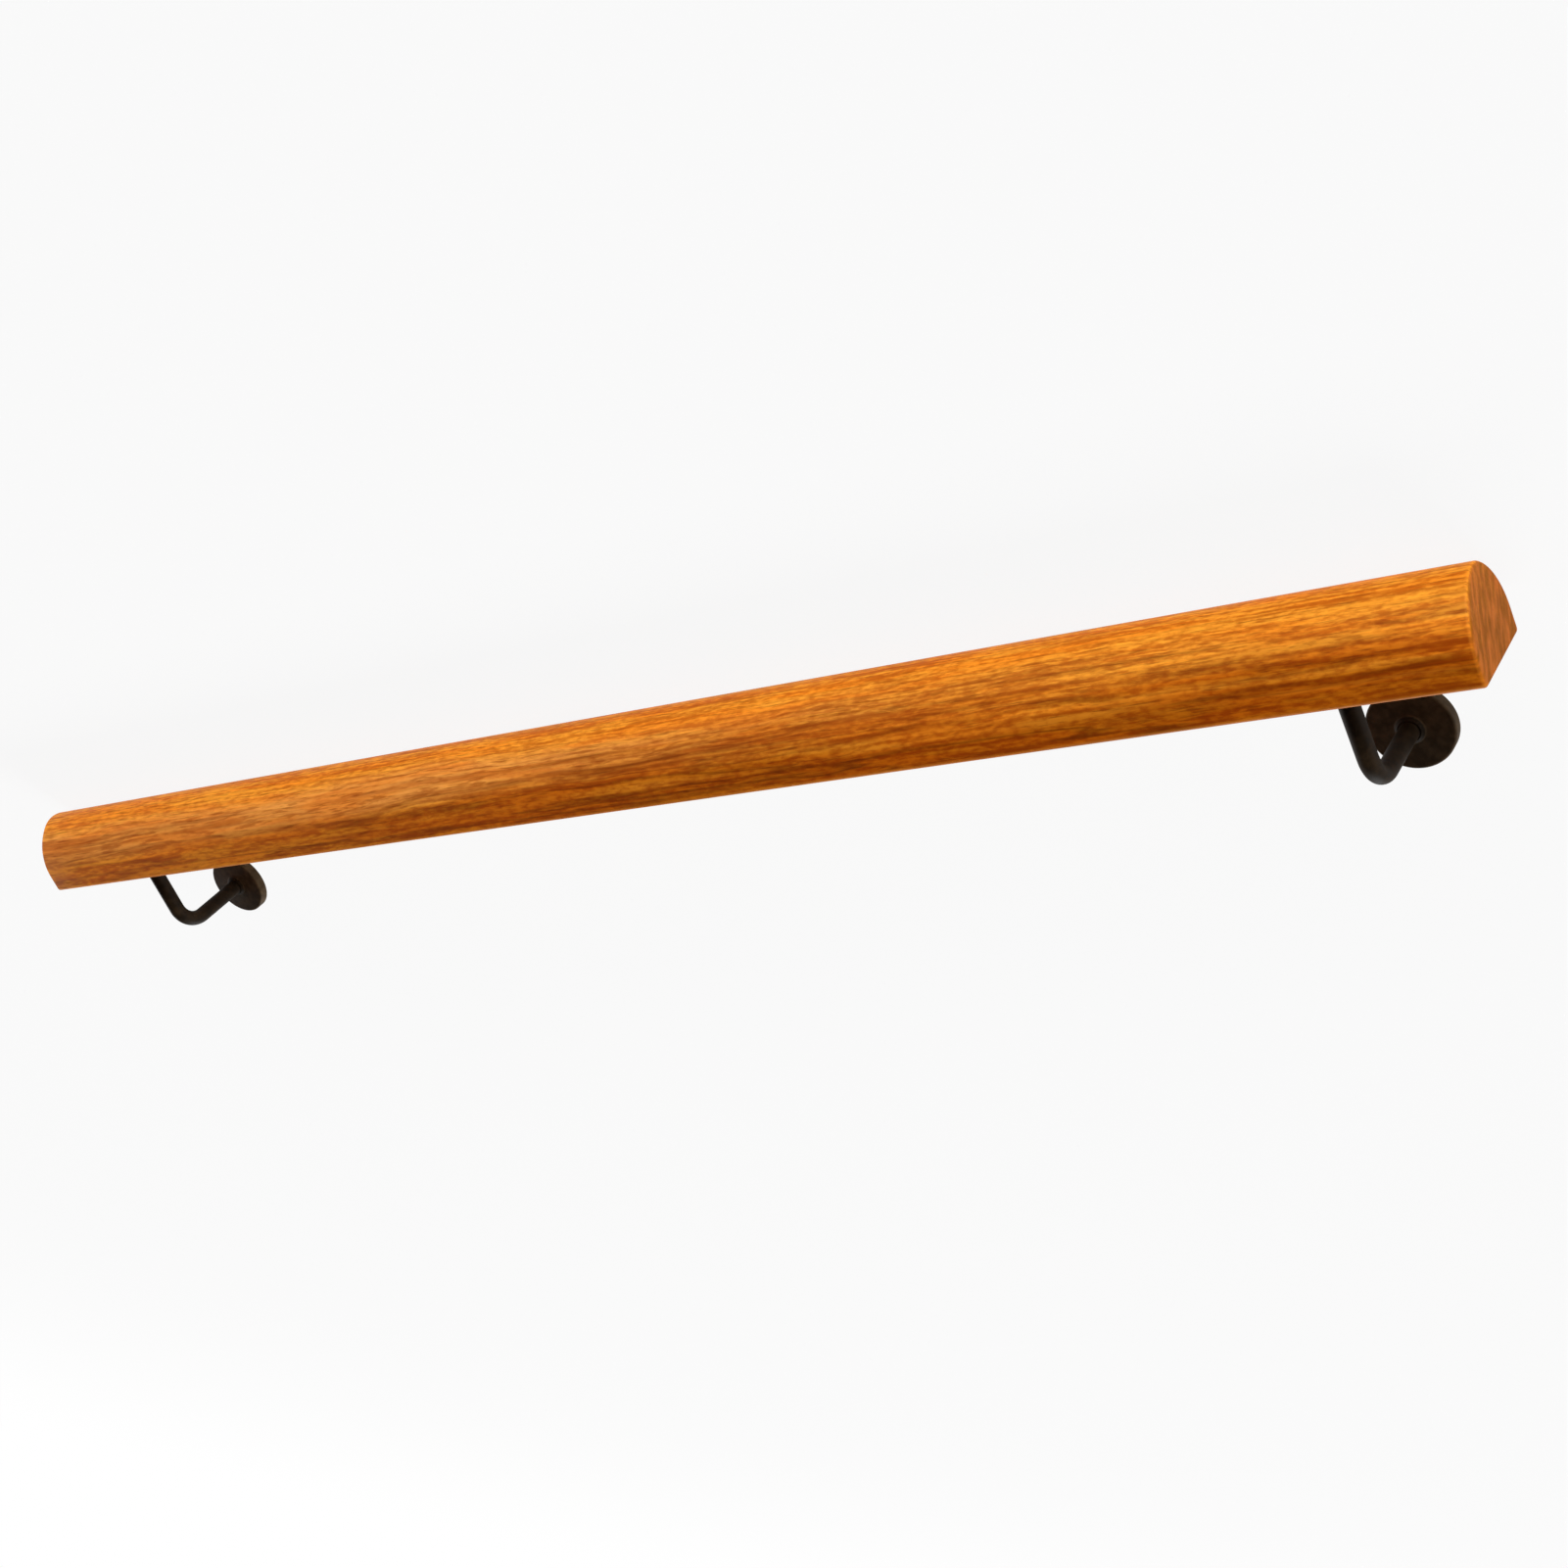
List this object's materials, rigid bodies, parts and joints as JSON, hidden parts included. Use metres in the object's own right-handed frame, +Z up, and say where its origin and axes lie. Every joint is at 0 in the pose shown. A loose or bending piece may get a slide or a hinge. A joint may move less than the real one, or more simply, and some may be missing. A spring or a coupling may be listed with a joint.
{
  "type": "stair handrail length",
  "caption": "Straight oak handrail of arched section carried on bent round-bar wall brackets with round wall plates.",
  "frame": {"origin": "centre of the set's footprint on the floor that it lies on", "axes": "+X along the rail, +Z up from the floor, brackets lying on the +Y side of the rail"},
  "size_m": [1.22, 0.1637, 0.0726],
  "materials": {
    "oak": "satin honey stain and clear varnish",
    "bronze_finish": "satin dark bronze"
  },
  "bodies": {
    "root": {"handrail": "oak", "left_bracket_bar": "bronze_finish", "left_wall_rosette": "bronze_finish", "left_saddle": "bronze_finish", "right_bracket_bar": "bronze_finish", "right_wall_rosette": "bronze_finish", "right_saddle": "bronze_finish"}
  },
  "joints": []
}
